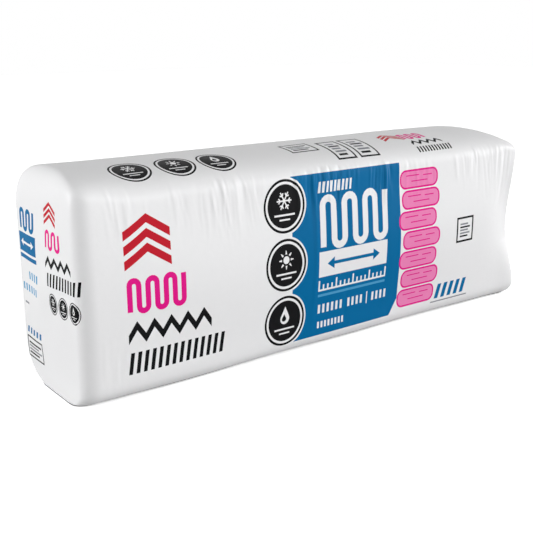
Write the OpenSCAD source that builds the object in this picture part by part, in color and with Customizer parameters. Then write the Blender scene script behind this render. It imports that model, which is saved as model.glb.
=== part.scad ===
// A sealed polyethylene bag of fibreglass insulation batts, lying on its long narrow side.
// X runs along the bag from its closed end to its sealed end, Y across the stack of batts, Z up.
// The origin is the middle of the footprint, at the height of the floor. The front faces -Y.

/* [Bag] */
// Length of the whole bag, from the swell of the closed end to the folded weld
bag_len = 1200; // [900:10:1500]
// Depth of the bag, across the stack of batts
bag_depth = 288; // [230:2:400]
// Height of the bag, along the width of the batts
bag_height = 414; // [330:2:560]
// Thickness of the film's wall, thicker than the real 0.1 mm so that it stays a sound solid
film_t = 1; // [0.5:0.1:2]
// How far the front and the back swell between their rounded edges
side_crown = 9; // [0:1:14]
// How far the closed end swells
end_crown = 7; // [2:1:15]

/* [Long edges] */
// Drop of the arched top from its middle to the upright sides
top_drop = 56; // [30:1:100]
// Squareness of the arched top: 2 is an ellipse, and more is squarer
top_square = 2.3; // [2:0.1:4]
// Reach of the front bottom edge's rounding across the depth
front_edge_y = 52; // [15:1:90]
// Reach of the front bottom edge's rounding up the height
front_edge_z = 34; // [10:1:80]
// Reach of the back bottom edge's rounding across the depth
back_edge_y = 90; // [15:1:110]
// Reach of the back bottom edge's rounding up the height
back_edge_z = 74; // [10:1:110]

/* [Closed end] */
// Reach of the closed end's rounding along the length
closed_end_x = 28; // [15:1:80]
// How far the front and the back come in at the closed end
closed_end_y = 30; // [10:1:60]
// How far the top comes down at the closed end
closed_end_top = 58; // [10:1:80]
// How far the bottom comes up at the closed end
closed_end_bottom = 4; // [1:1:60]

/* [Sealed end] */
// Reach of the front and back walls' rounding along the length
sealed_end_x = 26; // [15:1:120]
// How far the front and the back come in at the sealed end
sealed_end_y = 48; // [10:1:60]
// Reach of the top's fall towards the sealed end
sealed_fall_x = 155; // [30:1:250]
// How far the top falls at the sealed end
sealed_end_top = 36; // [10:1:80]
// How far the bottom comes up at the sealed end
sealed_end_bottom = 11; // [1:1:60]
// Length over which the sealed end is drawn in
tuck_len = 148; // [80:2:250]
// How deep the side gussets are tucked in at the sealed end
tuck_depth = 32; // [5:1:50]
// How much further back the sealed end stands at the top than at the bottom
slant = 18; // [0:1:40]
// How far the upright corners of the sealed end are drawn back half way up
waist = 20; // [0:1:40]
// How far the two end panels lean out to the weld between them
gable_out = 24; // [8:1:40]
// Height of the lip that the end panels meet in
seal_h = 4; // [2:0.5:8]
// Width of the welded strip, which is folded down on the lower end panel
fin_w = 32; // [15:1:60]
// Thickness of the welded strip
fin_t = 0.8; // [0.4:0.1:2]

/* [Batts] */
// Number of batts, each folded once
batt_count = 8; // [4:1:12]
// Air between neighbouring batts, and between the halves of a folded batt
batt_gap = 0.4; // [0.3:0.1:2]
// Air between the batts and the film at the sides
batt_clear = 3; // [1:0.5:6]
// Air between the batts and the film that they rest on
batt_rest = 0.3; // [0.2:0.1:0.8]
// How far the loose ends of the batts stay short of the sealed end's drawn-in corners
batt_end_slack = 12; // [5:1:60]

/* [Hidden] */

// Steps of the rounded surfaces
top_steps = 8;
edge_steps = 4;
wall_steps = 5;
end_steps = 4;
body_steps = 2;
draw_steps = 4;

// Half depth without the swell of the sides
half_depth = bag_depth / 2 - side_crown;
// Where the closed end's rim, the sealed end's rim at the floor, and the weld stand
closed_x = -bag_len / 2 + end_crown;
seal_x = bag_len / 2 - fin_t;
sealed_x = seal_x - gable_out + slant / 2;
seal_z = bag_height / 2;
end_swell_share = 0.55;

// Share of a quarter ellipse's inset at the share t of its reach
function inset_share(t) = let (u = 1 - max(0, min(1, t))) 1 - sqrt(1 - u * u);
function smooth(t) = let (u = max(0, min(1, t))) u * u * (3 - 2 * u);

// The sides swell most half way along, and not at all at the ends
function swell(x) = side_crown * (1 - pow(abs(2 * x / bag_len), 4));
function tuck(x) = tuck_depth * pow(max(0, min(1, 1 - (sealed_x - x) / tuck_len)), 2);

// Stations along the bag, as [place, x of the outer face, share of the closed end's rounding, share of the
// sealed end's rounding]. inset moves the places inwards, as far as the film is thick.
function stations(inset) = concat(
    [for (i = [0:end_steps]) let (a = 90 * i / end_steps)
        [closed_x + closed_end_x - (closed_end_x - inset) * cos(a), closed_x + closed_end_x * (1 - cos(a)),
            1 - sin(a), 0]],
    [for (i = [1:body_steps - 1]) let (x = closed_x + closed_end_x
            + (sealed_x - sealed_fall_x - closed_x - closed_end_x) * i / body_steps) [x, x, 0, 0]],
    [for (i = [0:draw_steps - 1]) let (x = sealed_x - sealed_fall_x
            + (sealed_fall_x - sealed_end_x) * i / draw_steps) [x, x, 0, 0]],
    [for (i = [0:end_steps]) let (a = 90 * i / end_steps)
        [sealed_x - sealed_end_x + (sealed_end_x - inset) * sin(a), sealed_x - sealed_end_x * (1 - sin(a)),
            0, 1 - cos(a)]]
);

function low_at(st) = closed_end_bottom * st[2] + sealed_end_bottom * st[3];
function high_at(st) = bag_height - closed_end_top * st[2]
    - sealed_end_top * inset_share((sealed_x - st[1]) / sealed_fall_x);
function half_at(st) = half_depth - closed_end_y * st[2] - sealed_end_y * st[3];

// One side of the bag's outline at a station, from the floor up, as [y, z] points. edge holds the
// bottom edge's reaches, and under is the inset at the bottom.
function side_line(st, inset, under, edge) =
    let (
        w = inset * (1 - st[2] - st[3]),
        w_under = under * (1 - st[2] - st[3]),
        half = half_at(st) - w,
        low = low_at(st) + w_under,
        high = high_at(st) - w,
        by = edge[0] - w,
        bz = edge[1] - w_under,
        tz = top_drop - w,
        wall = (high - tz) - (low + bz)
    )
    concat(
        [for (i = [0:edge_steps]) let (a = 90 * i / edge_steps)
            [half - by + by * sin(a), low + bz - bz * cos(a)]],
        [for (i = [1:wall_steps - 1]) let (s = i / wall_steps)
            [half + swell(st[1]) * sin(180 * s) - tuck(st[1]) * pow(sin(180 * s), 2), low + bz + wall * s]],
        [for (i = [0:top_steps - 1]) let (a = 90 * i / top_steps)
            [half * pow(cos(a), 2 / top_square), high - tz + tz * pow(sin(a), 2 / top_square)]],
        [[0, high]]
    );

// How far a point of the outline is drawn back by the sealed end's slant and waist
function drawn_back(st, y, z) =
    let (h = z / bag_height, share = smooth(1 - (sealed_x - st[1]) / tuck_len))
    share * (slant * h + waist * pow(sin(180 * h), 2) * pow(min(1, abs(y) / half_depth), 4));

// The whole outline at a station, as a ring of points. It can be drawn in to the shares ky of its width
// and kz of its height about the height mid.
function ring(st, inset, under, place, ky = 1, kz = 1, mid = 0) =
    let (front = side_line(st, inset, under, [front_edge_y, front_edge_z]),
        back = side_line(st, inset, under, [back_edge_y, back_edge_z]),
        line = concat(back, [for (i = [len(front) - 2:-1:0]) [-front[i][0], front[i][1]]]))
    [for (p = line) [place - drawn_back(st, p[0], p[1]), p[0] * ky, mid + (p[1] - mid) * kz]];

// The last ring, closed down to the weld's lip
function seal_ring(st, inset, under) =
    [for (p = ring(st, inset, under, 0)) [seal_x - 2 * inset - waist * pow(min(1, abs(p[1]) / half_depth), 4), p[1],
        seal_z + (p[2] - seal_z) * seal_h / bag_height]];

// A closed skin over a list of rings that hold as many points each
module skin(rings) {
    n = len(rings[0]);
    last = len(rings) - 1;
    polyhedron(
        points = [for (r = rings) each r],
        faces = concat(
            [[for (i = [0:n - 1]) i]],
            [for (k = [0:last - 1], i = [0:n - 1]) let (j = (i + 1) % n)
                each [[k * n + i, (k + 1) * n + i, k * n + j], [k * n + j, (k + 1) * n + i, (k + 1) * n + j]]],
            [[for (i = [n - 1:-1:0]) last * n + i]]
        )
    );
}

// The bag's filled form, with its faces inset from the film's outer faces, and its underside by under
module filled_form(inset, under) {
    sts = stations(inset);
    first = sts[0];
    last = sts[len(sts) - 1];
    mid = (low_at(first) + high_at(first)) / 2;
    skin(concat(
        [for (k = [0:1]) let (share = end_swell_share + (1 - end_swell_share) * k / 2)
            ring(first, inset, under, first[0] - end_crown * (1 - k / 4), share, share, mid)],
        [for (st = sts) ring(st, inset, under, st[0])],
        [seal_ring(last, inset, under)]
    ));
}

// The welded strip, folded down on the lower end panel
module seal_fin() {
    rim = [0, sealed_x, 0, 1];
    low = low_at(rim);
    low_x = sealed_x - drawn_back(rim, 0, low);
    top_z = seal_z - seal_h / 2;
    reach = half_at(rim) - tuck_depth;
    function panel_x(z) = low_x + (seal_x - low_x) * (z - low) / (top_z - low);
    translate([0, reach, 0]) rotate([90, 0, 0]) linear_extrude(2 * reach)
        polygon([
            [panel_x(top_z) - film_t / 2, top_z],
            [panel_x(top_z) + fin_t, top_z],
            [panel_x(top_z - fin_w) + fin_t, top_z - fin_w],
            [panel_x(top_z - fin_w) - film_t / 2, top_z - fin_w]
        ]);
}

module film_bag() {
    color("whitesmoke") difference() {
        union() {
            filled_form(0, 0);
            seal_fin();
        }
        filled_form(film_t, film_t);
    }
}

// How far the closed end's rounding comes in along the bag, at the distance y from the middle of its depth
function closed_reach(y) =
    let (u = max(0, min(1, (abs(y) - half_depth + closed_end_y) / closed_end_y)))
    closed_end_x * (1 - sqrt(1 - u * u));

// A batt folded once, seen from above: its fold is at the closed end, its loose ends at the sealed end
module folded_outline(thick, fold_in) {
    fold_x = -bag_len / 2 + film_t + batt_clear + thick / 2 + fold_in;
    tip_x = sealed_x - slant - waist - batt_end_slack;
    difference() {
        union() {
            translate([fold_x, 0]) circle(d = thick, $fn = 32);
            translate([fold_x, -thick / 2]) square([tip_x - fold_x, thick]);
        }
        translate([fold_x, -batt_gap / 2]) square([bag_len, batt_gap]);
    }
}

module batt(i) {
    room = bag_depth - 2 * (film_t + batt_clear);
    pitch = room / batt_count;
    y = -room / 2 + pitch * (i - 0.5);
    color("khaki") intersection() {
        filled_form(film_t + batt_clear, film_t + batt_rest);
        translate([0, y, 0]) linear_extrude(bag_height) folded_outline(pitch - batt_gap, closed_reach(y));
    }
}

film_bag();
for (i = [1:batt_count])
    batt(i);
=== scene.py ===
"""A sealed bag of fibreglass insulation batts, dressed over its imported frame.

The film is one surface, worked out in the film's own flat coordinates: s runs along the bag from its closed
end and t runs round it from the middle of its underside, both in metres. The print is laid out flat in the same
coordinates and cut into the film's mesh, as ink lies in the film.
"""

import math

import bmesh
import bpy
import numpy as np
from mathutils import Matrix, Vector
from mathutils.geometry import delaunay_2d_cdt, tessellate_polygon


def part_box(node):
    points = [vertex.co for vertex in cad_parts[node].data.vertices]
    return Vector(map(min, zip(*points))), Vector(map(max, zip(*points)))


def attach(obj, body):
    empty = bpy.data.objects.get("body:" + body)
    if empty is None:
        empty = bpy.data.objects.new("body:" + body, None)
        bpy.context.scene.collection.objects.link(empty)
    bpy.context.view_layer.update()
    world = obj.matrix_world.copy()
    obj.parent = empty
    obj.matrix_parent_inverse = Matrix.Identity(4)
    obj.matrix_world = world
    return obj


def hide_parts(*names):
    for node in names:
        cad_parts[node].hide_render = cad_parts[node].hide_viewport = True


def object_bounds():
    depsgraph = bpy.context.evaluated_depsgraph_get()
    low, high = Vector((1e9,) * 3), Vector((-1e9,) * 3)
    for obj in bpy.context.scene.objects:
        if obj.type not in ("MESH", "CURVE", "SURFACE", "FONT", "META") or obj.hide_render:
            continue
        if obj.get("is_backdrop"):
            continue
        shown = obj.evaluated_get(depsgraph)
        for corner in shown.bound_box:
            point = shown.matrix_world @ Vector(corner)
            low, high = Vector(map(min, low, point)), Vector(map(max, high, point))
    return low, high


bl_info = {
    "name": "Bagged insulation batts",
    "version": (1, 0, 0),
    "blender": (4, 5, 0),
    "location": "3D View > Sidebar > Batts",
    "description": "Builds a printed film bag of insulation batts over its frame",
    "category": "Object",
}

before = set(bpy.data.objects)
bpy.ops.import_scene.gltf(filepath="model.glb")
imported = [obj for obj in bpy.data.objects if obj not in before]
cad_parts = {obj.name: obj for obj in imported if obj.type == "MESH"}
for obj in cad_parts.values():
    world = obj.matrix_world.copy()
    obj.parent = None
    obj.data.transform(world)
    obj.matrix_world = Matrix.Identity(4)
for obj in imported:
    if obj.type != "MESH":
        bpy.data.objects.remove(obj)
CAD_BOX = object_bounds()
BAG_LOW, BAG_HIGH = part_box("film_bag")
BATTS = [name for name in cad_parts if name.startswith("batt_")]
MM = 0.001
INKS = ("film", "blue", "pale_blue", "black", "red", "pink", "rose", "grey")
WHITE = (1, 1, 1, 1)

# The film's mesh, in metres
END_REACH = 0.036  # how far the closed end's part runs on past its rim
UNDERSIDE = 0.09  # half the underside's width, where the mesh is coarse
FINE, PLAIN, COARSE = 0.0062, 0.008, 0.014  # its steps round the bag
SEAM_STEP = 0.01  # its steps along the seam under the bag
END_GRID, END_MARGIN = 0.005, 0.004  # pitch of the closed end's points, and how far they stay inside its edge
END_UV_AWAY = 0.8  # how far from the tube the UV map has the closed end
PRINT_START = 0.0176  # where the print's measure begins, before the closed end's plane
PRINT_STEP = 0.005  # longest edge of a printed outline
PRINT_CELL = 0.0018  # cells of this size beside an outline hold no other point

RIB_PITCH, RIB_WIDTH = 0.0026, 0.0011  # the weld's ribs, in metres
FLOOR_HALF = 12.0  # half the width of the studio's floor, in metres
TURN = 6.3  # random phases are drawn up to a whole turn
# Rays that meet the studio as it is seen. The others meet it as it lights the bag
SHINY_RAYS = ("Is Glossy Ray", "Is Transmission Ray")
SEEN_RAYS = ("Is Camera Ray", *SHINY_RAYS)


# ---------------------------------------------------------------- sizes and colours


def number(text, default, **limits):
    return bpy.props.FloatProperty(description=text, default=default, **limits)


def length(text, default_mm, top=2.0):
    return number(text, default_mm * MM, min=0.0, max=top, unit="LENGTH", precision=4)


def ink(text, default):
    return bpy.props.StringProperty(description=text + ", as an sRGB hex value", default=default)


class BagSizes(bpy.types.PropertyGroup):
    """The form of the filled bag"""

    side_crown: length("How far the front and the back swell", 9)
    end_crown: length("How far the closed end swells", 7)
    top_drop: length("Drop of the arched top from its middle to the sides", 56)
    top_square: number("Squareness of the arched top: 2 is an ellipse, and more is squarer", 2.3, min=2.0, max=5.0)
    front_edge_y: length("Reach of the front bottom edge across the bag", 52)
    front_edge_z: length("Reach of the front bottom edge up the bag", 34)
    back_edge_y: length("Reach of the back bottom edge across the bag", 84)
    back_edge_z: length("Reach of the back bottom edge up the bag", 68)
    closed_x: length("Reach of the closed end's rounding along the bag", 36)
    closed_y: length("How far the front comes in at the closed end", 18)
    closed_back_y: length("How far the back comes in at the closed end", 26)
    closed_head_x: length("Reach of the top's rounding along the bag at the closed end", 33)
    closed_top: length("How far the top comes down at the closed end", 58)
    corner_x: length("Reach of the rounding along the bag at the closed end's front top corner", 10)
    corner_top: length("How far the closed end's front top corner comes down", 22)
    closed_bottom: length("How far the bottom comes up at the closed end", 2)
    sealed_x: length("Reach of the sealed end's rounding along the bag", 26)
    sealed_y: length("How far the sides come in at the sealed end", 44)
    toe: length("How much less the bottom corners come in at the sealed end", 28)
    foot: length("How much further out the sealed end's bottom corners stand", 6)
    toe_out: length("How far the sealed end's bottom corners stand out of the sides", 2.5)
    fall_x: length("Reach of the top's fall towards the sealed end", 130)
    sealed_top: length("How far the top falls at the sealed end", 33)
    sealed_bottom: length("How far the bottom comes up at the sealed end", 2)
    rise: length("How far the film stands over the batts along the top", 1.2)
    ears: number("How much flatter the arched top is at the sealed end", 0.5, min=0.0, max=0.9)
    brow: number("How much flatter the arched top is at the closed end", 0.3, min=0.0, max=0.9)
    tuck_len: length("Length over which the sealed end is drawn in", 148)
    tuck_depth: length("Depth of the tucked gussets at the sealed end", 20)
    slant: length("How much further back the sealed end stands at its top", 14)
    waist: length("How far the sealed end's corners are drawn back half way up", 18)
    gable_out: length("How far the end panels lean out to the weld", 24)
    weld_w: length("Width of the folded welded strip", 32)
    depth_at_weld: length("Length of the welded strip across the bag", 110)
    film_t: length("Thickness of the folded welded strip", 0.8)
    proud: length("How far the film of the closed end stands off the batts", 0.9)


class PrintColours(bpy.types.PropertyGroup):
    """The colours of the film and of its inks"""

    film: ink("Opaque white film", "#EDEDEE")
    blue: ink("Panel blue", "#006AA0")
    pale_blue: ink("Thin stripe on the panel", "#4C9BC8")
    black: ink("Black ink", "#0D0D0F")
    red: ink("Red ink", "#C41E2E")
    pink: ink("Strong pink ink", "#E6188A")
    rose: ink("Light pink ink", "#F287BC")
    grey: ink("Grey ink", "#8C8F94")
    batt: ink("Glass wool", "#D9BE62")


class StageSizes(bpy.types.PropertyGroup):
    """The camera and the studio"""

    lens: number("Focal length in millimetres", 58.18)
    yaw: number("Turn of the view from square-on", 0.6469, subtype="ANGLE")
    pitch: number("Downward slope of the view", 0.2652, subtype="ANGLE")
    roll: number("Roll of the view", -0.0059, subtype="ANGLE")
    distance: length("Distance of the camera", 1937.2, 9.0)
    across: number("Sideways place of the camera", -0.0786, unit="LENGTH")
    above: length("Height of the view's middle over the floor", 134.8)
    ambient: number("Strength of the white studio's light", 0.29)
    front_light: number("Strength of the light from the front", 2.44)
    right_light: number("Strength of the light from the right", 2.14)
    left_light: number("Strength of the light from the back left", 3.67)


# ---------------------------------------------------------------- materials


def linear(hex_colour, share=1.0):
    """An sRGB hex value, darkened to a share of itself, as linear red, green, blue and alpha."""
    parts = [int(hex_colour[i : i + 2], 16) / 255 for i in (1, 3, 5)]
    return [share * (c / 12.92 if c <= 0.04045 else ((c + 0.055) / 1.055) ** 2.4) for c in parts] + [1.0]


class Nodes:
    """Fills an empty node tree. Called with a kind of node, it adds one."""

    def __init__(self, tree):
        self.tree = tree
        tree.nodes.clear()

    def __call__(self, kind, inputs=None, **settings):
        """inputs gives each socket a value, the output that feeds it, or a node whose first output does."""
        node = self.tree.nodes.new(kind)
        for key, value in settings.items():
            setattr(node, key, value)
        for key, value in (inputs or {}).items():
            if isinstance(value, bpy.types.Node):
                value = value.outputs[0]
            if isinstance(value, bpy.types.NodeSocket):
                self.tree.links.new(value, node.inputs[key])
            else:
                node.inputs[key].default_value = value
        return node

    def calc(self, operation, *values):
        return self("ShaderNodeMath", dict(enumerate(values)), operation=operation)

    def noise(self, place, scale, detail):
        return self("ShaderNodeTexNoise", {"Vector": place, "Scale": scale, "Detail": detail})

    def drawn(self, place, scales, detail):
        """Noise drawn out differently along each axis."""
        return self.noise(self("ShaderNodeMapping", {"Vector": place, "Scale": scales}), 1.0, detail)

    def coat(self, colour, dark, tone, inputs):
        """Ends a material of the colour, which tone mixes with a darker one, the share dark of it."""
        ends = {0: tone, 6: linear(colour, dark), 7: linear(colour)}
        mix = self("ShaderNodeMix", ends, data_type="RGBA")
        shader = self("ShaderNodeBsdfPrincipled", {"Base Color": mix.outputs[2], **inputs})
        self("ShaderNodeOutputMaterial", {"Surface": shader})

    def largest(self, path, names):
        """The largest of the light path's outputs that are named."""
        found = path.outputs[names[0]]
        for name in names[1:]:
            found = self.calc("MAXIMUM", found, path.outputs[name])
        return found


def new_material(name):
    mat = bpy.data.materials.new(name)
    mat.use_nodes = True
    return mat, Nodes(mat.node_tree)


def film_material(name, colour, gloss):
    """Blown polyethylene film, opaque white or inked: a soft gloss with fine draw lines along the bag, and a
    faint unevenness where the glass wool presses on it."""
    mat, add = new_material(name)
    flat = add("ShaderNodeUVMap", uv_map="Film")
    # Draw lines of the blown film, about 1.5 mm apart and 60 mm long, drawn coarser than the real ones
    lines = add.drawn(flat, (16.0, 650.0, 1.0), 2.0)
    # Wool fibres press through in soft lumps about 12 mm across
    lumps = add.noise(flat, 80.0, 3.0)
    height = add.calc("MULTIPLY_ADD", lines, 0.12, lumps)
    bump = add("ShaderNodeBump", {"Height": height, "Strength": 0.35, "Distance": 0.0006})
    span = {"From Min": 0.3, "From Max": 0.7, "To Min": 0.38, "To Max": 0.48}
    rough = add("ShaderNodeMapRange", {"Value": lumps, **span})
    polyethylene = {"Roughness": rough, "IOR": 1.51, "Specular IOR Level": gloss, "Normal": bump}
    add.coat(colour, 0.975, lumps, polyethylene)
    return mat


def wool_material(colour):
    """Bonded glass wool: matt, straw yellow, with fine crossing fibres in layers."""
    mat, add = new_material("Bonded_glass_wool")
    # Fibres lie in layers, so the noise is drawn out along and up the batt
    fibres = add.drawn(add("ShaderNodeTexCoord").outputs["Object"], (60.0, 900.0, 120.0), 6.0)
    bump = add("ShaderNodeBump", {"Height": fibres, "Strength": 0.6, "Distance": 0.002})
    add.coat(colour, 0.7, fibres, {"Roughness": 0.9, "Normal": bump})
    return mat


# ---------------------------------------------------------------- the film's surface


def rounding(across, up, square=2.0):
    """Angle against share of length along a rounded corner from its foot to its top, and its length."""
    angle = np.linspace(0.0, math.pi / 2, 361)
    y, z = across * np.cos(angle) ** (2 / square), up * np.sin(angle) ** (2 / square)
    run = np.concatenate([[0.0], np.cumsum(np.hypot(np.diff(y), np.diff(z)))])
    return run / run[-1], angle, run[-1]


def unit(t):
    return np.clip(t, 0, 1)


def smooth(t):
    u = unit(t)
    return u * u * (3 - 2 * u)


class FilmSurface:
    """The filled bag's outer surface as a grid over the flat film, read between its points."""

    ALONG, ROUND = 0.002, 0.003  # the grid's steps
    EASE = 0.007  # width of the soft window that eases the corners round the girth
    CORNER_OVER = 0.14  # how far round from the top's middle the squarer corner comes in
    TOE_FROM, TOE_OVER = 0.09, 0.2  # where the toe starts to fade, from the underside's middle, and over how much
    BROW_ALONG = 0.12  # how far along the bag the brow reaches
    CLOSING = 0.994  # share of its height that the sealed end loses on the way to the weld
    FADE = 0.05  # length over which the unevenness fades at both ends

    def __init__(self, sizes):
        self.z = z = sizes
        self.bag_len, self.depth, self.height = Vector(BAG_HIGH) - Vector(BAG_LOW)
        self.closed_x = -self.bag_len / 2 + z.end_crown
        self.seal_x = self.bag_len / 2 - z.film_t
        self.rim_x = self.seal_x - z.gable_out + z.slant / 2
        self.half = self.depth / 2 - z.side_crown
        self.seal_z = self.height / 2

        # Breaks round the girth, from the middle of the underside to the middle of the top, front and back
        self.top_arc = rounding(self.half, z.top_drop, z.top_square)
        self.sides = []
        for across, up in ((z.front_edge_y, z.front_edge_z), (z.back_edge_y, z.back_edge_z)):
            arc = rounding(up, across)
            wall = self.height - z.top_drop - up
            breaks = np.cumsum([0.0, self.half - across, arc[2], wall, self.top_arc[2]])
            self.sides.append((across, up, arc, breaks))
        self.front_girth = self.sides[0][3][-1]
        self.girth = self.front_girth + self.sides[1][3][-1]

        # Breaks along the bag: closed end's rounding, body, sealed end's rounding, end panels
        self.closed_arc = rounding(z.closed_x, z.closed_y)
        self.sealed_arc = rounding(z.sealed_y, z.sealed_x)
        body = self.rim_x - z.sealed_x - self.closed_x - z.closed_x
        panel = math.hypot(self.height / 2 - z.sealed_top, z.gable_out)
        self.runs = np.cumsum([0.0, self.closed_arc[2], body, self.sealed_arc[2], panel])
        self.reach = self.runs[-1]

        self.ns = int(round(self.reach / self.ALONG)) + 1
        self.nt = int(round(self.girth / self.ROUND))
        s = np.linspace(0.0, self.reach, self.ns)
        t = np.arange(self.nt) * self.girth / self.nt
        self.place = self.form(s, t)
        self.normal = self.normals()
        self.place = self.place + self.normal * self.relief(s, t)[..., None]
        self.normal = self.normals()

    def form(self, s, t):
        """The plain filled form at each s and t, with its corners eased."""
        z, r = self.z, self.runs
        s, t = s[:, None], t[None, :]
        a = np.interp(unit(s / r[1]), *self.closed_arc[:2])
        e = np.interp(unit((s - r[2]) / (r[3] - r[2])), *self.sealed_arc[:2])
        closed = np.where(s < r[1], 1 - np.sin(a), 0.0)
        sealed = np.where(s > r[2], 1 - np.cos(e), 0.0)
        close = unit((s - r[3]) / (r[4] - r[3]))
        x = np.select(
            [s < r[1], s < r[2]],
            [self.closed_x + z.closed_x * (1 - np.cos(a)), self.closed_x + z.closed_x + s - r[1]],
            self.rim_x - z.sealed_x * (1 - np.sin(e)),
        )
        fall = unit((x - self.rim_x + z.fall_x) / z.fall_x) ** 2
        to_seal = 1 - (self.rim_x - x) / z.tuck_len
        # The closed end's front top corner is squarer than the rest of its head
        front = np.where(t < self.front_girth, smooth((self.front_girth - t) / self.CORNER_OVER), 0.0)
        head_x = z.closed_head_x + (z.corner_x - z.closed_head_x) * front
        head_top = z.closed_top + (z.corner_top - z.closed_top) * front
        over = unit(1 - (x - self.closed_x) / head_x)
        fallen = head_top * (1 - np.sqrt(1 - over**2))
        from_under = np.minimum(t, self.girth - t)
        toe = z.toe * (1 - smooth((from_under - self.TOE_FROM) / self.TOE_OVER))
        half = self.half - (z.sealed_y - toe * (1 - close)) * sealed
        low = z.closed_bottom * closed + z.sealed_bottom * sealed
        top = self.height + z.rise - fallen - z.sealed_top * fall
        flatter = z.ears * smooth(to_seal) + z.brow * smooth(1 - (x - self.closed_x) / self.BROW_ALONG)
        drop = z.top_drop * (1 - flatter)
        swell = z.side_crown * (1 - np.abs(2 * x / self.bag_len) ** 4)
        tuck = z.tuck_depth * unit(to_seal) ** 2

        back = t > self.front_girth
        u = np.where(back, self.girth - t, t)
        lines = []
        for (across, up, arc, b), drawn_in in zip(self.sides, (z.closed_y, z.closed_back_y)):
            wide = half - drawn_in * closed
            # Shares of the underside, the bottom edge, the wall and the arched top
            share = [unit((u - b[i]) / (b[i + 1] - b[i])) for i in range(4)]
            foot = np.interp(share[1], *arc[:2])
            head = np.interp(share[3], *self.top_arc[:2])
            wall = top - drop - low - up
            pinch = unit(share[2] * wall / (top - z.top_drop - low - up))
            out = swell * np.sin(math.pi * share[2]) ** 2 - tuck * np.sin(math.pi * pinch) ** 2
            # The fallen head shortens the wall only near its top, so the print runs level round the corner
            wall_h = low + up + (wall + fallen) * share[2] - fallen * share[2] ** 4
            picks = [u < b[1], u < b[2], u < b[3]]
            y = np.select(
                picks,
                [(wide - across) * share[0], wide - across + across * np.sin(foot), wide + out],
                wide * np.cos(head) ** (2 / z.top_square),
            )
            h = np.select(
                picks,
                [low + 0 * u, low + up * (1 - np.cos(foot)), wall_h],
                top - drop * (1 - np.sin(head) ** (2 / z.top_square)),
            )
            lines.append((y, h))
        y = np.where(back, lines[1][0], -lines[0][0])
        h = np.where(back, lines[1][1], lines[0][1])

        # The sealed end stands back towards its top, and its corners are drawn back half way up
        level = h / self.height
        edge = unit(np.abs(y) / self.half) ** 4
        drawn = z.slant * level + z.waist * np.sin(math.pi * level) ** 2 * edge - z.foot * (1 - level) ** 4
        at_rim = x - smooth(to_seal) * drawn
        at_weld = self.seal_x - 2 * z.waist * edge
        narrower = 1 - close * (1 - z.depth_at_weld / 2 / (self.half - z.sealed_y))
        x = at_rim * (1 - close) + at_weld * close
        h = self.seal_z + (h - self.seal_z) * (1 - close * self.CLOSING)
        return self.ease(np.stack([x, y * narrower, h], axis=-1))

    def ease(self, grid):
        """Rounds the girth's corners with a soft window round the bag."""
        waves = np.fft.rfftfreq(self.nt, d=self.girth / self.nt)
        window = np.exp(-2 * (math.pi * self.EASE * waves) ** 2)
        eased = np.fft.irfft(np.fft.rfft(grid, axis=1) * window[None, :, None], n=self.nt, axis=1)
        eased[..., 0] = grid[..., 0]
        return eased

    def normals(self):
        p = self.place
        along = np.gradient(p, axis=0)
        round_ = np.roll(p, -1, axis=1) - np.roll(p, 1, axis=1)
        n = np.cross(along, round_)
        n[0] = (-1.0, 0.0, 0.0)
        n /= np.linalg.norm(n, axis=-1, keepdims=True) + 1e-12
        return n

    def relief(self, s, t):
        """Wrinkles and slow unevenness, in metres along the normal."""
        rng = np.random.default_rng(7)
        out = np.zeros((len(s), len(t)))
        # Slow unevenness of the stack, with a whole number of waves round the bag
        for _ in range(14):
            fs, ft = rng.uniform(0.5, 5, 2)
            tall = rng.uniform(0.15, 0.4) * MM
            along = np.sin(2 * math.pi * fs * s / self.reach + rng.uniform(0, TURN))
            round_ = np.sin(2 * math.pi * int(round(ft)) * t / self.girth + rng.uniform(0, TURN))
            out += tall * along[:, None] * round_[None, :]
        out *= (unit(s / self.FADE) * unit((self.runs[3] - s) / self.FADE))[:, None]
        # The underside lies flat on the floor
        off_floor = unit((np.minimum(t, self.girth - t) - self.sides[1][3][1]) / 0.03)
        stand = self.z.proud * unit(1 - s / self.runs[1])
        return out * off_floor[None, :] + self.tension(s, t, rng) + stand[:, None]

    def tension(self, s, t, rng):
        """Wrinkles that run down from the top's edges and up from the bottom's, where the film is pulled over the
        batts, and longer ones that fan out from the corners of the sealed end."""
        out = np.zeros((len(s), len(t)))
        front, back = self.sides[0][3], self.girth - self.sides[1][3]
        groups = [
            # count, s from and to, t of the upper end, its spread, length from and to, half width, height, lean
            (150, 0.05, 1.22, front[3] + 0.018, 0.02, 0.05, 0.12, 0.0032, 0.5, -0.05),
            (75, 0.05, 0.45, front[3] + 0.025, 0.02, 0.06, 0.12, 0.0034, 0.65, -0.12),
            (44, 0.47, 0.77, front[3] + 0.018, 0.008, 0.05, 0.10, 0.003, 2.2, 0.03),
            (26, 0.06, 1.1, front[2] + 0.07, 0.03, 0.04, 0.09, 0.004, 0.4, 0.05),
            (14, 0.92, 1.06, front[3] + 0.02, 0.012, 0.05, 0.09, 0.0042, 1.0, -0.12),
            (130, 0.05, 1.22, back[3] + 0.07, 0.02, 0.05, 0.12, 0.0036, 0.6, 0.05),
            (26, 0.06, 1.1, back[2] - 0.01, 0.03, 0.04, 0.09, 0.004, 0.4, 0.05),
        ]
        for count, s0, s1, upper, spread, short, long, half_w, tall, lean in groups:
            # Wrinkles come in bunches
            knots = rng.uniform(s0, s1, max(3, count // 7))
            for _ in range(count):
                at = rng.choice(knots) + rng.normal(0, 0.018)
                end = upper + rng.uniform(-spread, spread)
                run = rng.uniform(short, long)
                bend = rng.normal(0, 0.4)
                tilt = lean + rng.normal(0, 0.06)
                w = half_w * rng.uniform(0.7, 1.4)
                h = tall * MM * rng.uniform(0.25, 1.0) * rng.choice([-1, 1, 1])
                self.crease(out, s, t, (at, end), run, tilt, bend, w, h)
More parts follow.
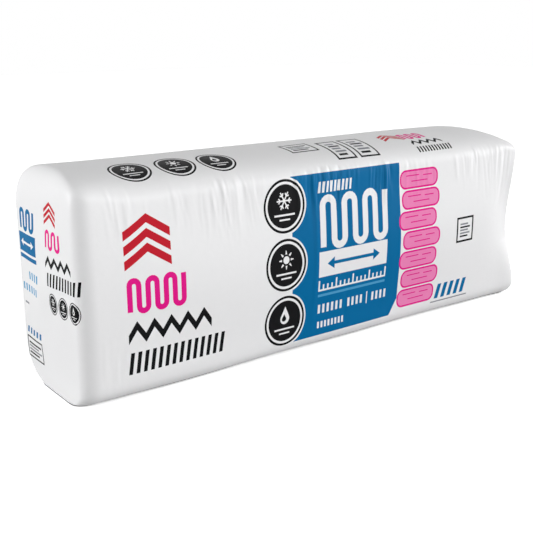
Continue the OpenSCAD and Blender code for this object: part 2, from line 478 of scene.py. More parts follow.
        # One long soft fold down the panel, and a broad one beside each ear of the sealed end
        self.crease(out, s, t, (0.523, front[3] + 0.02), 0.34, 0.01, 0.02, 0.005, 1.2 * MM)
        for corner, run in ((front[3] + 0.02, 0.2), (back[3] - 0.02, -0.2)):
            self.crease(out, s, t, (1.165, corner), run, 0.02, 0.1, 0.011, 1.6 * MM)
            self.crease(out, s, t, (1.125, corner - run * 0.1), run * 0.7, 0.1, 0.3, 0.012, -1.0 * MM)
        # The sealed end's bottom corners stand out a little
        for corner, run in ((0.26, 0.22), (self.girth - 0.26, -0.22)):
            self.crease(out, s, t, (1.15, corner), run, 0.0, 0.0, 0.03, self.z.toe_out)
        return out

    @staticmethod
    def crease(out, s, t, start, run, tilt, bend, w, h):
        """Adds one ridge of half width w and height h, from start down by run, leaning by tilt and bending."""
        s0, t0 = start
        low, high = sorted((t0, t0 - run))
        reach = abs(run) * (abs(tilt) + abs(bend * run)) + 3 * w
        i = slice(*np.searchsorted(s, (s0 - reach, s0 + reach)))
        j = slice(*np.searchsorted(t, (low, high)))
        down = unit((t0 - t[j]) / run)
        line = s0 - (tilt * abs(run) * down + bend * run * run * down**2)
        fade = np.sin(math.pi * down**0.7) ** 0.8
        out[i, j] += h * np.exp(-(((s[i, None] - line[None, :]) / w) ** 2)) * fade[None, :]

    def read(self, s, t):
        """Places and normals at the flat points s, t."""
        i = unit(s / self.reach) * (self.ns - 1)
        j = (t / self.girth * self.nt) % self.nt
        i0 = np.minimum(i.astype(int), self.ns - 2)
        j0 = j.astype(int) % self.nt
        j1 = (j0 + 1) % self.nt
        fi, fj = (i - i0)[:, None], (j - np.floor(j))[:, None]
        out = []
        for grid in (self.place, self.normal):
            out.append(
                grid[i0, j0] * (1 - fi) * (1 - fj)
                + grid[i0 + 1, j0] * fi * (1 - fj)
                + grid[i0, j1] * (1 - fi) * fj
                + grid[i0 + 1, j1] * fi * fj
            )
        out[0][:, 2] = np.maximum(out[0][:, 2], 0.0)
        out[1] /= np.linalg.norm(out[1], axis=1, keepdims=True) + 1e-12
        return out


class EndPanel:
    """The closed end and the rounding round it, laid out flat over y and z: inside the rim the film swells, and
    past the rim it runs on over the rounding, s away from the rim."""

    STEP = 0.001  # pitch of the rim's points

    def __init__(self, surface, reach):
        self.surface = surface
        self.reach = reach
        self.t = np.arange(0.0, surface.girth, self.STEP)
        self.rim = surface.read(np.zeros_like(self.t), self.t)[0][:, 1:]
        self.mid = (self.rim.max(axis=0) + self.rim.min(axis=0)) / 2
        run = np.roll(self.rim, -1, axis=0) - np.roll(self.rim, 1, axis=0)
        self.out = np.stack([run[:, 1], -run[:, 0]], axis=1) / np.linalg.norm(run, axis=1, keepdims=True)
        self.out *= np.sign(np.sum(self.out * (self.rim - self.mid), axis=1))[:, None]
        away = self.rim - self.mid
        angle = np.arctan2(away[:, 1], away[:, 0])
        order = np.argsort(angle)
        self.angle, self.radius = angle[order], np.hypot(*away.T)[order]

    def edge(self, t):
        """The flat outline of the panel with its rounding, at the places t round the girth."""
        pick = np.round(t / self.surface.girth * len(self.t)).astype(int) % len(self.t)
        return self.rim[pick] + self.out[pick] * self.reach

    def share(self, flat):
        """How far out each flat point lies, as a share of the way to the rim, with the way from the middle to the
        point and the rim's distance from the middle in that direction."""
        away = flat - self.mid
        rim = np.interp(np.arctan2(away[:, 1], away[:, 0]), self.angle, self.radius, period=2 * math.pi)
        return np.hypot(*away.T) / rim, away, rim

    def read(self, flat):
        """Places and normals at the flat points (y, z)."""
        share, away, rim = self.share(flat)
        inner = unit(share)
        surface = self.surface
        crown = surface.z.end_crown
        x = surface.closed_x - surface.z.proud - crown * (1 - inner**2) ** 2
        slope = crown * 4 * inner * (1 - inner**2) / rim
        ray = away / (np.hypot(*away.T)[:, None] + 1e-9)
        place = np.column_stack([x, flat])
        normal = np.column_stack([-np.ones_like(x), ray * slope[:, None]])
        dent, tilt = self.relief(flat, inner)
        place[:, 0] -= dent
        normal[:, 1:] -= tilt
        normal /= np.linalg.norm(normal, axis=1, keepdims=True)

        # Past the rim: the nearest of every fourth rim point, then the one that the point stands square to
        past = np.flatnonzero(share > 1)
        gap = flat[past][:, None, :] - self.rim[None, ::4, :]
        near = np.argmin(np.einsum("ijk,ijk->ij", gap, gap), axis=1) * 4
        for _ in range(3):
            off = flat[past] - self.rim[near]
            slip = off[:, 0] * -self.out[near, 1] + off[:, 1] * self.out[near, 0]
            near = (near + np.round(slip * self.turn() / self.STEP).astype(int)) % len(self.t)
        s = np.clip(np.sum((flat[past] - self.rim[near]) * self.out[near], axis=1), 0, self.reach)
        place[past], normal[past] = surface.read(s, self.t[near])
        return place, normal

    def turn(self):
        """1 where the rim runs anticlockwise over y and z, else -1."""
        a, b = self.rim, np.roll(self.rim, -1, axis=0)
        return math.copysign(1.0, float(np.sum(a[:, 0] * b[:, 1] - a[:, 1] * b[:, 0])))

    def relief(self, flat, share):
        """Soft hollows of the end, where the batts' folded ends press unevenly, and their slopes."""
        rng = np.random.default_rng(11)
        dent, tilt = np.zeros(len(flat)), np.zeros((len(flat), 2))
        fade = (1 - share**2) ** 2
        for _ in range(10):
            wave = 2 * math.pi * rng.uniform(3, 14, 2) * rng.choice([-1, 1], 2)
            tall, phase = rng.uniform(0.1, 0.45) * MM, rng.uniform(0, TURN)
            angle = flat @ wave + phase
            dent += tall * np.sin(angle) * fade
            tilt += (tall * np.cos(angle) * fade)[:, None] * wave
        return dent, tilt


# ---------------------------------------------------------------- the print


def block(x0, x1, z0, z1, skew=0.0):
    """A rectangle whose top leans by skew for each unit of height."""
    lean = skew * (z1 - z0)
    return [(x0, z0), (x1, z0), (x1 + lean, z1), (x0 + lean, z1)]


def disc(r):
    """A circle about the origin."""
    count = max(16, int(r * 1.1))
    angles = [2 * math.pi * i / count for i in range(count)]
    return [(r * math.cos(a), r * math.sin(a)) for a in angles]


def slab(x0, x1, z0, z1, r):
    """A rectangle with round corners."""
    corners = ((x1 - r, z1 - r, 0), (x0 + r, z1 - r, 1), (x0 + r, z0 + r, 2), (x1 - r, z0 + r, 3))
    angles = [math.pi / 2 * k / 6 for k in range(7)]
    return [
        (x + r * math.cos(a + turn * math.pi / 2), z + r * math.sin(a + turn * math.pi / 2))
        for x, z, turn in corners
        for a in angles
    ]


def ribbon(path, width):
    """The outline of a band of even width along a path."""
    path = np.array(path, dtype=float)
    run = np.gradient(path, axis=0)
    side = np.stack([-run[:, 1], run[:, 0]], axis=1)
    side *= width / 2 / np.linalg.norm(side, axis=1, keepdims=True)
    return [tuple(p) for p in np.concatenate([path + side, (path - side)[::-1]])]


def loops(x0, x1, z0, z1, count):
    """The path of a long batt folded to and fro: count straight runs joined by half turns."""
    pitch = (x1 - x0) / (count - 1)
    r = pitch / 2
    path = [(x0, z0)]
    for i in range(count):
        x = x0 + i * pitch
        start, end, away = (z1 - r, z0 + r, -1) if i % 2 else (z0 + r, z1 - r, 1)
        path += [(x, start), (x, (start + end) / 2), (x, end)]
        if i < count - 1:
            bend = [math.pi * k / 8 for k in range(1, 8)]
            path += [(x + r - r * math.cos(a), end + away * r * math.sin(a)) for a in bend]
    path.append((x1, z1 if count % 2 else z0))
    return path


def bars(x0, x1, z0, z1, count, fill=0.6, skew=0.0):
    """A row of even bars."""
    pitch = (x1 - x0) / (count - 1 + fill)
    return [block(x0 + i * pitch, x0 + (i + fill) * pitch, z0, z1, skew) for i in range(count)]


def chevrons(x0, x1, z0, z1, fill=0.62, count=3):
    """Roof-shaped bands stacked between z0 and z1."""
    rise = (x1 - x0) * 0.32
    pitch = (z1 - z0 - rise) / (count - 1 + fill)
    mid = (x0 + x1) / 2
    shapes = []
    for i in range(count):
        low, high = z0 + i * pitch, z0 + (i + fill) * pitch
        shapes.append([(x0, low), (mid, low + rise), (x1, low), (x1, high), (mid, high + rise), (x0, high)])
    return shapes


def zigzag(x0, x1, z0, z1, count, tall):
    """One band that runs up and down, as on a drawing of a truss, tall along its upright."""
    step = (x1 - x0) / count
    low = [(x0 + i * step, z1 - tall if i % 2 else z0) for i in range(count + 1)]
    return low + [(x, z + tall) for x, z in reversed(low)]


def arrow(x0, x1, z, tall, width):
    """A dimension arrow with a head at each end."""
    head = tall * 0.75
    half, w = tall / 2, width / 2
    under = [(x0, z), (x0 + head, z - half), (x0 + head, z - w), (x1 - head, z - w), (x1 - head, z - half)]
    return under + [(x1, z), (x1 - head, z + half), (x1 - head, z + w), (x0 + head, z + w), (x0 + head, z + half)]


def turned(outline, x, z, angle):
    """An outline about the origin, turned and moved to x, z."""
    c, s = math.cos(angle), math.sin(angle)
    return [(x + c * a - s * b, z + s * a + c * b) for a, b in outline]


def each(ink, outlines):
    return [(ink, outline) for outline in outlines]


def badge(kind, x, z, r, up):
    """A ringed black disc with one sign in it. From its middle it reaches r sideways and up upwards."""
    rings = (("film", 1.08), ("black", 1.0), ("film", 0.905), ("black", 0.81))
    shapes = [(ink, disc(r * share)) for ink, share in rings]
    arm, w, lift = r * 0.36, r * 0.055, r * 0.2
    if kind == "frost":
        for i in range(6):
            a = math.pi * i / 3
            x1, z1 = math.cos(a) * arm * 0.55, math.sin(a) * arm * 0.55
            twig = block(0, arm * 0.34, -w / 2, w / 2)
            shapes.append(("film", turned(block(0, arm, -w / 2, w / 2), 0, lift, a)))
            shapes += each("film", [turned(twig, x1, lift + z1, a + lean * 0.9) for lean in (-1, 1)])
    elif kind == "sun":
        ray = [(arm * 0.6, -w * 0.8), (arm, -w * 0.3), (arm, w * 0.3), (arm * 0.6, w * 0.8)]
        shapes.append(("film", [(a, lift + b) for a, b in disc(arm * 0.42)]))
        shapes += each("film", [turned(ray, 0, lift, math.pi * i / 4) for i in range(8)])
    else:
        bulb = arm * 0.62
        drop = [(0, arm * 1.05)]
        drop += [(bulb * math.cos(a), -arm * 0.3 + bulb * math.sin(a)) for a in np.linspace(0.5, -3.64, 20)]
        shapes.append(("film", [(a, lift + b) for a, b in drop]))
        shapes.append(("black", [(a * 0.5 - arm * 0.1, lift - arm * 0.22 + b * 0.42) for a, b in drop]))
    shapes.append(("film", block(-r * 0.5, r * 0.5, -r * 0.36, -r * 0.29)))
    shapes.append(("film", block(-r * 0.26, r * 0.26, -r * 0.53, -r * 0.47)))
    return [(ink, [(x + a, z + b * (up / r)) for a, b in outline]) for ink, outline in shapes]


def badges(places, r, up):
    """A frost, a sun and a drop badge, each at its place (x, z)."""
    kinds = ("frost", "sun", "drop")
    return [shape for kind, (x, z) in zip(kinds, places) for shape in badge(kind, x, z, r, up)]


def batt_stack(x0, x1, z0, z1, count, line):
    """A stack of loose batts, one a little aside of the next, pale with a strong outline and a few fibres."""
    pitch = (z1 - z0) / count
    margin, asides = 7, (0, 7, -3, 5, -7, 3, -2, 6)
    fibres = ((0.66, 0.16, 0.5), (0.62, 0.6, 0.84), (0.36, 0.3, 0.72))  # height, start and end, as shares
    shapes = []
    for i in range(count):
        low, high = z0 + i * pitch, z0 + (i + 1) * pitch - line * 0.7
        aside = asides[i % len(asides)]
        left, right, r = x0 + margin + aside, x1 - margin + aside, (high - low) * 0.42
        shapes.append(("pink", slab(left, right, low, high, r)))
        shapes.append(("rose", slab(left + line, right - line, low + line, high - line, r - line)))
        tall = high - low
        for share, start, end in fibres:
            a, b = left + (right - left) * start, left + (right - left) * end
            shapes.append(("pink", block(a, b, low + tall * share, low + tall * share + line * 0.6)))
    return shapes


def label(x0, x1, z0, z1, line, rows):
    """A plain black-edged label with grey and black bars."""
    shapes = [("black", block(x0, x1, z0, z1)), ("film", block(x0 + line, x1 - line, z0 + line, z1 - line))]
    margin = line * 2.6
    a, b, c = x0 + margin, x1 - margin, z0 + margin
    step = (z1 - margin - c) / rows
    for i in range(rows):
        tone = "grey" if i % 3 else "black"
        shapes.append((tone, block(a, b if i % 2 else a + (b - a) * 0.8, c + i * step, c + (i + 0.55) * step)))
    return shapes


def in_mm(shapes, place=lambda x, z: (x, z)):
    return [(ink, [place(x * MM, z * MM) for x, z in outline]) for ink, outline in shapes]


def front_print():
    """The front's print in millimetres over s and t: a blue panel with a folded-batt line, three badges, red
    roofs, pink folds, black truss and bars, a stack of pink batts, a label and a blue mark."""
    ticks = [block(x, x + 4, 247, 258 if i % 4 else 267) for i, x in enumerate(np.linspace(538, 724, 17))]
    return [
        ("blue", [(470, 148), (748, 149), (771, 186), (767, 486), (470, 486)]),
        *badges(((453.5, 430.5), (453.5, 314.5), (453.5, 199)), 50, 52.6),
        *each("film", bars(538, 626, 446, 468, 9, 0.55, 0.12)),
        ("film", ribbon(loops(549, 722, 336, 434, 7), 15)),
        ("film", block(538, 728, 274, 327)),
        ("blue", arrow(560, 706, 300.5, 25, 7)),
        *each("film", [block(538, 728, 244, 248), *ticks]),
        ("pale_blue", block(538, 728, 232, 237.5)),
        *each("film", bars(540, 606, 196, 215, 6, 0.5) + bars(622, 664, 196, 215, 4, 0.5)),
        *each("film", [block(676, 679, 192, 219)] + bars(692, 734, 196, 215, 4, 0.5)),
        *each("film", bars(540, 612, 164, 178, 8, 0.55)),
        *each("red", chevrons(104, 197, 359, 456)),
        ("pink", ribbon(loops(111, 219, 285, 341, 7), 10.5)),
        ("black", zigzag(106, 278, 226, 268, 10, 17)),
        *each("black", bars(104, 303, 170, 210, 14, 0.52, 0.14)),
        *batt_stack(764, 896, 160, 470, 7, 4),
        *label(951, 1009, 284, 343, 4.6, 5),
        *each("blue", bars(893, 990, 160, 194, 5, 0.56, 0.3)),
        ("grey", block(882, 1005, 151, 154)),
    ]


def top_print():
    """The top's smaller print in millimetres over s and t."""
    return [
        *badges(((154, 554), (246, 554), (335, 554)), 39, 39),
        *label(518, 588, 551, 604, 4, 4),
        *label(607, 659, 509, 594, 4.5, 5),
        *label(669, 725, 509, 597, 4.5, 5),
        *each("red", chevrons(782, 842, 558, 608, 0.7)),
        ("pink", ribbon(loops(848, 908, 562, 594, 6), 7.5)),
        ("black", zigzag(842, 936, 529, 551, 8, 9)),
        *each("black", bars(840, 944, 504, 522, 12, 0.52, 0.14)),
    ]


def closed_end_print():
    """The closed end's print in millimetres, to the right (towards the front) and up."""
    return [
        ("blue", ribbon(loops(-92, -34, 295, 330, 5), 8.5)),
        ("blue", block(-105, -23, 251, 287)),
        ("film", arrow(-96, -32, 269, 15, 4.5)),
        ("blue", block(-105, -22, 238, 246)),
        *each("red", chevrons(17, 65, 319, 362)),
        ("pink", ribbon(loops(24, 76, 280, 309, 5), 6.5)),
        ("black", zigzag(22, 112, 243, 267, 8, 10)),
        *each("black", bars(27, 130, 211, 236, 11, 0.52, 0.14)),
        *badges(((42, 180), (78, 180), (114, 180)), 16, 20),
        *each("pale_blue", bars(-66, -20, 202, 217, 4, 0.5) + bars(-102, -26, 176, 190, 6, 0.5)),
        ("grey", block(-100, -80, 149, 153)),
        *label(-104, -30, 42, 84, 3, 4),
        *each("blue", bars(-100, -30, 91, 104, 5, 0.5, 0.3)),
    ]


# ---------------------------------------------------------------- cutting the mesh


def divide(outline, step):
    """An outline run anticlockwise, with points no further apart than step."""
    area = sum(a[0] * b[1] - a[1] * b[0] for a, b in zip(outline, outline[1:] + outline[:1]))
    outline = outline if area > 0 else outline[::-1]
    points = []
    for i, (x0, z0) in enumerate(outline):
        x1, z1 = outline[(i + 1) % len(outline)]
        parts = max(1, math.ceil(math.hypot(x1 - x0, z1 - z0) / step))
        points += [(x0 + (x1 - x0) * k / parts, z0 + (z1 - z0) * k / parts) for k in range(parts)]
    return points


def twice_area(flat, tris):
    """Twice each flat triangle's area, below 0 where it runs clockwise."""
    a, b, c = (flat[tris[:, k]] for k in range(3))
    return (b[:, 0] - a[:, 0]) * (c[:, 1] - a[:, 1]) - (b[:, 1] - a[:, 1]) * (c[:, 0] - a[:, 0])


def cut(edge, inner, shapes):
    """Triangles over the flat outline edge, through the inner points, with each shape's outline cut in. Gives
    the flat points, the triangles and the number of each one's ink."""
    coords = divide(edge, math.inf)
    faces = [list(range(len(edge)))]
    lines = []
    for _, outline in shapes:
        outline = divide(outline, PRINT_STEP)
        faces.append(list(range(len(coords), len(coords) + len(outline))))
        coords += outline
        lines += outline
    # Inner points beside an outline would make slivers
    cells = {(round(x / PRINT_CELL), round(z / PRINT_CELL)) for x, z in lines}
    near = {(x + i, z + j) for x, z in cells for i in (-1, 0, 1) for j in (-1, 0, 1)}
    coords += [p for p in inner if (round(p[0] / PRINT_CELL), round(p[1] / PRINT_CELL)) not in near]
    verts, _, tris, _, _, owners = delaunay_2d_cdt([Vector(p) for p in coords], [], faces, 1, 1e-7, True)
    flat, tris = np.array([(v.x, v.y) for v in verts]), np.array(tris)
    inks = np.array([INKS.index(shapes[max(o) - 1][0]) if o and max(o) else 0 for o in owners])
    turn = twice_area(flat, tris)
    tris[turn < 0] = tris[turn < 0][:, ::-1]
    return flat, tris, inks


def values(items, key, width, kind=np.float32):
    """One property of all the items, as rows of the width."""
    found = np.zeros(len(items) * width, dtype=kind)
    items.foreach_get(key, found)
    return found.reshape(-1, width)


def lay_out(mesh, flat):
    """Gives the mesh the UV map Film from each point's flat place."""
    corners = values(mesh.loops, "vertex_index", 1, np.int32)[:, 0]
    mesh.uv_layers.new(name="Film").data.foreach_set("uv", flat[corners].astype(np.float32).ravel())


def linked(name, data):
    """A new object in the scene."""
    obj = bpy.data.objects.new(name, data)
    bpy.context.scene.collection.objects.link(obj)
    return obj


def film_mesh(name, parts):
    """One welded mesh from (places, normals, flat points, triangles, inks) of each part."""
    first = np.cumsum([0] + [len(p[0]) for p in parts])
    verts, normals, flat = (np.concatenate([p[k] for p in parts]) for k in range(3))
    polys = np.concatenate([p[3] + n for p, n in zip(parts, first)])
    inks = np.concatenate([p[4] for p in parts])
    mesh = bpy.data.meshes.new(name)
    mesh.from_pydata(verts.tolist(), [], polys.tolist())
    mesh.polygons.foreach_set("use_smooth", np.ones(len(polys), dtype=bool))
    mesh.polygons.foreach_set("material_index", inks.astype(np.int32))
    lay_out(mesh, flat)
    kept = mesh.attributes.new("surface_normal", "FLOAT_VECTOR", "POINT")
    kept.data.foreach_set("vector", normals.astype(np.float32).ravel())

    work = bmesh.new()
    work.from_mesh(mesh)
    bmesh.ops.remove_doubles(work, verts=[v for v in work.verts if v.is_boundary], dist=1e-5)
    # Slivers along the straight stretches of the seams
    filled = bmesh.ops.holes_fill(work, edges=[e for e in work.edges if e.is_boundary], sides=0)
    bmesh.ops.triangulate(work, faces=filled["faces"])
    work.to_mesh(mesh)
    work.free()
    kept = mesh.attributes["surface_normal"]
    found = values(kept.data, "vector", 3)
    mesh.attributes.remove(kept)
    mesh.normals_split_custom_set_from_vertices(found.tolist())
    return linked(name, mesh)


def girth_rows(surface):
    """Places of the mesh's points round the bag: close on the front and the top, wider behind and below."""
    rows, t = [0.0], 0.0
    while t < surface.girth - FINE / 2:
        seen = t < surface.front_girth + 0.1
        t += (FINE if seen else PLAIN) if UNDERSIDE < t < surface.girth - UNDERSIDE else COARSE
        rows.append(min(t, surface.girth))
    rows[-1] = surface.girth
    return np.array(rows)


def tube_part(surface, rows):
    """The tube between the closed end and the weld, with the print of its front, top and back."""
    girth, reach = surface.girth, surface.reach

    def row(step):
        return np.linspace(END_REACH, reach, int(round((reach - END_REACH) / step)) + 1)

    seam = row(SEAM_STEP)
    edge = [(s, 0.0) for s in seam] + [(reach, t) for t in rows[1:]]
    edge += [(s, girth) for s in seam[::-1][1:]] + [(END_REACH, t) for t in rows[::-1][1:-1]]
    inner = [(s, t) for k, t in enumerate(rows[1:-1]) for s in row((rows[k + 2] - t) / 2)[1:-1]]
    middle = (surface.runs[1] + surface.runs[2]) / 2
    start = surface.runs[1] - surface.z.closed_x - PRINT_START
    shapes = in_mm(front_print() + top_print(), lambda s, t: (s + start, t))
    shapes += in_mm(front_print(), lambda s, t: (2 * middle - s - start, girth - t))
    flat, tris, inks = cut(edge, inner, shapes)
    return (*surface.read(flat[:, 0], flat[:, 1]), flat, tris, inks)


def end_part(surface, rows):
    """The closed end and its rounding, with its print."""
    panel = EndPanel(surface, END_REACH)
    ring = [tuple(p) for p in panel.edge(rows[:-1])]
    low, high = np.min(ring, axis=0), np.max(ring, axis=0)
    across, up = (np.arange(low[k], high[k], END_GRID) for k in range(2))
    grid = np.array([(y, z) for y in across for z in up])
    share, _, rim = panel.share(grid)
    grid = grid[share * rim < rim + END_REACH - END_MARGIN]
    flat, tris, inks = cut(ring, [tuple(p) for p in grid], in_mm(closed_end_print(), lambda x, z: (-x, z)))
    place, normal = panel.read(flat)
    # Its outline takes the tube's own points, so the two close on each other
    seat = [int(np.argmin(np.sum((flat - p) ** 2, axis=1))) for p in ring]
    place[seat], normal[seat] = surface.read(np.full(len(ring), END_REACH), rows[:-1])
    return place, normal, flat[:, ::-1] - (END_UV_AWAY, 0.0), tris[:, ::-1], inks


def lip_part(surface, rows):
    """The lip inside the weld."""
    place, normal = surface.read(np.full(len(rows) - 1, surface.reach), rows[:-1])
    # The lip is so thin that it is filled as a copy 50 times as tall
    tris = np.array(tessellate_polygon([[Vector((y, 50 * z, 0)) for _, y, z in place.tolist()]]))
    tris = tris if twice_area(place[:, 1:], tris).sum() > 0 else tris[:, ::-1]
    return place, normal, place[:, 1:], tris, np.zeros(len(tris), dtype=int)


def settings():
    return [getattr(bpy.context.scene, name) for name in GROUPS]


# ---------------------------------------------------------------- operators


class BATTS_OT_film_bag(bpy.types.Operator):
    """Builds the printed film bag"""

    bl_idname = "batts.film_bag"
    bl_label = "Film bag"

    def execute(self, context):
        sizes, colours, _ = settings()
        surface = FilmSurface(sizes)
        rows = girth_rows(surface)
        bag = film_mesh("film_skin", [part(surface, rows) for part in (tube_part, end_part, lip_part)])
        for name in INKS:
            # Ink dulls the film a little
            gloss = 0.4 if name == "film" else 0.05
            bag.data.materials.append(film_material("PE_film_" + name, getattr(colours, name), gloss))
        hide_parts("film_bag")
        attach(bag, "root")
        return {"FINISHED"}


def weld_tree():
    """Geometry nodes for a heat weld: a flat strip with a bar rib for each tooth of the jaws."""
    tree = bpy.data.node_groups.new("Crimped weld", "GeometryNodeTree")
    face = tree.interface
    for name in ("Length", "Width", "Thickness", "Pitch", "Rib"):
        face.new_socket(name, in_out="INPUT", socket_type="NodeSocketFloat").subtype = "DISTANCE"
    for name in ("Place", "Lean"):
        face.new_socket(name, in_out="INPUT", socket_type="NodeSocketVector")
    face.new_socket("Film", in_out="INPUT", socket_type="NodeSocketMaterial")
    face.new_socket("Geometry", in_out="OUTPUT", socket_type="NodeSocketGeometry")

    add = Nodes(tree)
    given = add("NodeGroupInput").outputs

    def box(x, y, z, **more):
        size = add("ShaderNodeCombineXYZ", {"X": x, "Y": y, "Z": z})
        return add("GeometryNodeMeshCube", {"Size": size, **more})

    strip = box(given["Thickness"], given["Length"], given["Width"], **{"Vertices Y": 12})
    teeth = add.calc("SUBTRACT", add.calc("DIVIDE", given["Width"], given["Pitch"]), 1.0)
    low = add.calc("MULTIPLY", add.calc("MULTIPLY", teeth, given["Pitch"]), -0.5)
    start = add("ShaderNodeCombineXYZ", {"Z": low})
    step = add("ShaderNodeCombineXYZ", {"Z": given["Pitch"]})
    line = add("GeometryNodeMeshLine", {"Count": teeth, "Start Location": start, "Offset": step}, mode="OFFSET")
    # The ribs stand out of both faces of the strip and stop short of its ends
    rib = box(
        add.calc("MULTIPLY", given["Thickness"], 1.5), add.calc("MULTIPLY", given["Length"], 0.97), given["Rib"]
    )
    ribs = add("GeometryNodeInstanceOnPoints", {"Points": line, "Instance": rib})
    both = add("GeometryNodeJoinGeometry")
    for part in (strip, ribs):
        tree.links.new(part.outputs[0], both.inputs[0])
    laid = {"Geometry": both, "Translation": given["Place"], "Rotation": given["Lean"]}
    real = add("GeometryNodeRealizeInstances", {"Geometry": add("GeometryNodeTransform", laid)})
    done = add("GeometryNodeSetMaterial", {"Geometry": real, "Material": given["Film"]})
    add("NodeGroupOutput", {"Geometry": done})
    return tree


def made_real(obj):
    """The object with its modifiers' result as a plain mesh, laid out over y and z."""
    view = bpy.context.evaluated_depsgraph_get()
    mesh = bpy.data.meshes.new_from_object(obj.evaluated_get(view))
    obj.modifiers.clear()
    obj.data = mesh
    lay_out(mesh, values(mesh.vertices, "co", 3)[:, 1:])
    return obj


class BATTS_OT_weld(bpy.types.Operator):
    """Lays the crimped weld, folded down, on the sealed end"""

    bl_idname = "batts.weld"
    bl_label = "Weld"

    def execute(self, context):
        sizes = settings()[0]
        surface = FilmSurface(sizes)
        # The strip lies on the lower end panel, from just below the lip down, and all but touches it
        below, off = 0.0005, 0.0001
        (top, foot), normal = surface.read(surface.reach - np.array([below, sizes.weld_w]), np.zeros(2))
        lean = math.atan2(top[0] - foot[0], top[2] - foot[2])
        mid = (top + foot) / 2 + normal[1] * (sizes.film_t / 2 + off)
        tree = weld_tree()
        obj = linked("weld_strip", bpy.data.meshes.new("weld_strip"))
        modifier = obj.modifiers.new("Weld", "NODES")
        modifier.node_group = tree
        given = {
            "Length": sizes.depth_at_weld,
            "Width": sizes.weld_w,
            "Thickness": sizes.film_t,
            "Pitch": RIB_PITCH,
            "Rib": RIB_WIDTH,
            "Place": (mid[0], 0.0, mid[2]),
            "Lean": (0.0, lean, 0.0),
            "Film": bpy.data.materials["PE_film_film"],
        }
        for item in tree.interface.items_tree:
            if item.in_out == "INPUT":
                modifier[item.identifier] = given[item.name]
        strip = made_real(obj)
        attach(strip, "root")
        return {"FINISHED"}


class BATTS_OT_batts(bpy.types.Operator):
    """Gives the batts inside the bag their glass wool"""

    bl_idname = "batts.batts"
    bl_label = "Batts"

    def execute(self, context):
        _, colours, _ = settings()
        wool = wool_material(colours.batt)
        for name in BATTS:
            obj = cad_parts[name]
            obj.data.materials.clear()
            obj.data.materials.append(wool)
        return {"FINISHED"}


def soft_light(name, bearing, strength):
    """A wide, far studio window, low on the floor, that shines evenly along the whole bag. bearing is the angle in
    degrees at which it stands, from the bag's +X round towards +Y."""
    data = bpy.data.lights.new(name, "SUN")
    data.energy = strength
    data.angle = math.radians(30)
    angle, slope = math.radians(bearing), -0.06
    aim = Vector((-math.cos(angle), -math.sin(angle), slope))
    linked(name, data).rotation_euler = aim.to_track_quat("-Z", "Y").to_euler()


def white_studio(ambient):
    """A world that shows white and lights the bag softly."""
    world = bpy.data.worlds.new("studio")
    world.use_nodes = True
    add = Nodes(world.node_tree)
    seen = add.largest(add("ShaderNodeLightPath"), SEEN_RAYS)
    strength = add("ShaderNodeMapRange", {"Value": seen, "To Min": ambient, "To Max": 1.0})
    back = add("ShaderNodeBackground", {"Color": WHITE, "Strength": strength})
    add("ShaderNodeOutputWorld", {"Surface": back})
    return world


def floor_material():
    """The camera sees a white floor that darkens only where the bag shades it deeply, and reflections a white
    floor with the bag's shadow. A painted contact shadow also darkens the floor's colour in the last few
    millimetres before the bag. The light that it throws back on the bag is less."""
    to_bag, more_in_reflections, more_to_camera, own_glow = 0.3, 1.1, 1.9, 0.2
    # Reach and strength of the painted contact shadow
    painted_shadow_reach, painted_shadow_strength = 0.0027, 3.0
    mat, add = new_material("Studio_floor")
    path = add("ShaderNodeLightPath")
    shade = add.calc("MULTIPLY_ADD", add.largest(path, SHINY_RAYS), more_in_reflections, to_bag)
    shade = add.calc("MULTIPLY_ADD", path.outputs["Is Camera Ray"], more_to_camera, shade)
    # Painted contact shadow: ambient occlusion darkens the floor's colour in the last few millimetres before the
    # bag
    near = add("ShaderNodeAmbientOcclusion", {"Distance": painted_shadow_reach}, samples=16).outputs["AO"]
    shade = add.calc("MULTIPLY", shade, add.calc("POWER", near, painted_shadow_strength))
    glow = add.calc("MULTIPLY", add.largest(path, SEEN_RAYS), own_glow)
    glow = add("ShaderNodeEmission", {"Color": WHITE, "Strength": glow})
    matt = add("ShaderNodeBsdfDiffuse", {"Color": shade})
    add("ShaderNodeOutputMaterial", {"Surface": add("ShaderNodeAddShader", {0: glow, 1: matt})})
    return mat


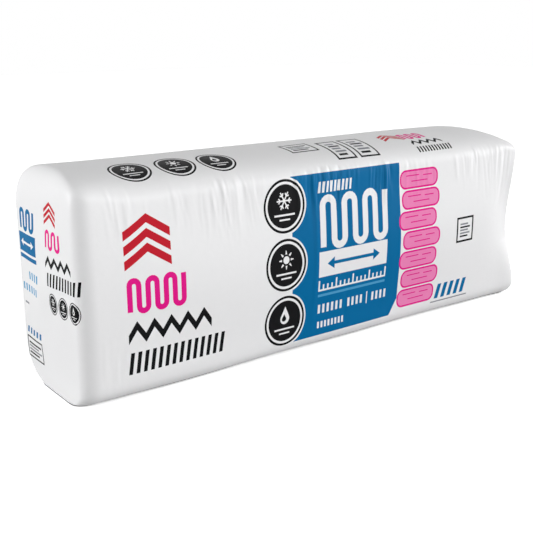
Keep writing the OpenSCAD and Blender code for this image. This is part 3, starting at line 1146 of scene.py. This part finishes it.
class BATTS_OT_stage(bpy.types.Operator):
    """Sets the camera, the floor and the soft studio light"""

    bl_idname = "batts.stage"
    bl_label = "Stage"

    def execute(self, context):
        stage = settings()[2]
        scene = context.scene
        scene.view_settings.view_transform = "Standard"
        yaw, pitch, roll = stage.yaw, stage.pitch, stage.roll
        fwd = Vector((math.sin(yaw) * math.cos(pitch), math.cos(yaw) * math.cos(pitch), -math.sin(pitch)))
        right = Vector((math.cos(yaw), -math.sin(yaw), 0))
        up = right.cross(fwd)
        place = -fwd * stage.distance + right * stage.across + up * stage.above
        rolled_right = right * math.cos(roll) + up * math.sin(roll)
        rolled_up = -right * math.sin(roll) + up * math.cos(roll)
        data = bpy.data.cameras.new("camera")
        data.lens, data.sensor_width, data.clip_end = stage.lens, 36.0, 100.0
        scene.camera = linked("camera", data)
        turn = Matrix((rolled_right, rolled_up, -fwd)).transposed()
        scene.camera.matrix_world = Matrix.Translation(place) @ turn.to_4x4()

        scene.world = white_studio(stage.ambient)
        soft_light("front_light", 285, stage.front_light)
        soft_light("right_light", 340, stage.right_light)
        soft_light("left_light", 160, stage.left_light)

        mesh = bpy.data.meshes.new("floor")
        w = FLOOR_HALF
        mesh.from_pydata([(-w, -w, 0), (w, -w, 0), (w, w, 0), (-w, w, 0)], [], [(0, 1, 2, 3)])
        mesh.materials.append(floor_material())
        floor = linked("floor", mesh)
        floor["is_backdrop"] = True
        return {"FINISHED"}


class BATTS_PT_panel(bpy.types.Panel):
    """Lists the pieces of the bag of batts, and their sizes and colours"""

    bl_idname = "BATTS_PT_panel"
    bl_label = "Bagged batts"
    bl_space_type = "VIEW_3D"
    bl_region_type = "UI"
    bl_category = "Batts"

    def draw(self, context):
        for operator in OPERATORS:
            self.layout.operator(operator.bl_idname)
        for group in settings():
            box = self.layout.box()
            for name in group.bl_rna.properties.keys():
                if name not in ("rna_type", "name"):
                    box.prop(group, name, text=name.replace("_", " ").capitalize())


GROUPS = {"bag_sizes": BagSizes, "print_colours": PrintColours, "stage_sizes": StageSizes}
OPERATORS = (BATTS_OT_film_bag, BATTS_OT_weld, BATTS_OT_batts, BATTS_OT_stage)
CLASSES = (*GROUPS.values(), *OPERATORS, BATTS_PT_panel)


def register():
    for cls in CLASSES:
        bpy.utils.register_class(cls)
    for name, group in GROUPS.items():
        setattr(bpy.types.Scene, name, bpy.props.PointerProperty(type=group))


def unregister():
    for name in GROUPS:
        delattr(bpy.types.Scene, name)
    for cls in reversed(CLASSES):
        bpy.utils.unregister_class(cls)


def main():
    register()
    bpy.ops.batts.film_bag()
    bpy.ops.batts.weld()
    bpy.ops.batts.batts()
    bpy.ops.batts.stage()
    boxes = {"cad": CAD_BOX, "visual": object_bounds()}
    boxes = {name: [[float(v) for v in corner] for corner in box] for name, box in boxes.items()}


if __name__ == "__main__":
    main()
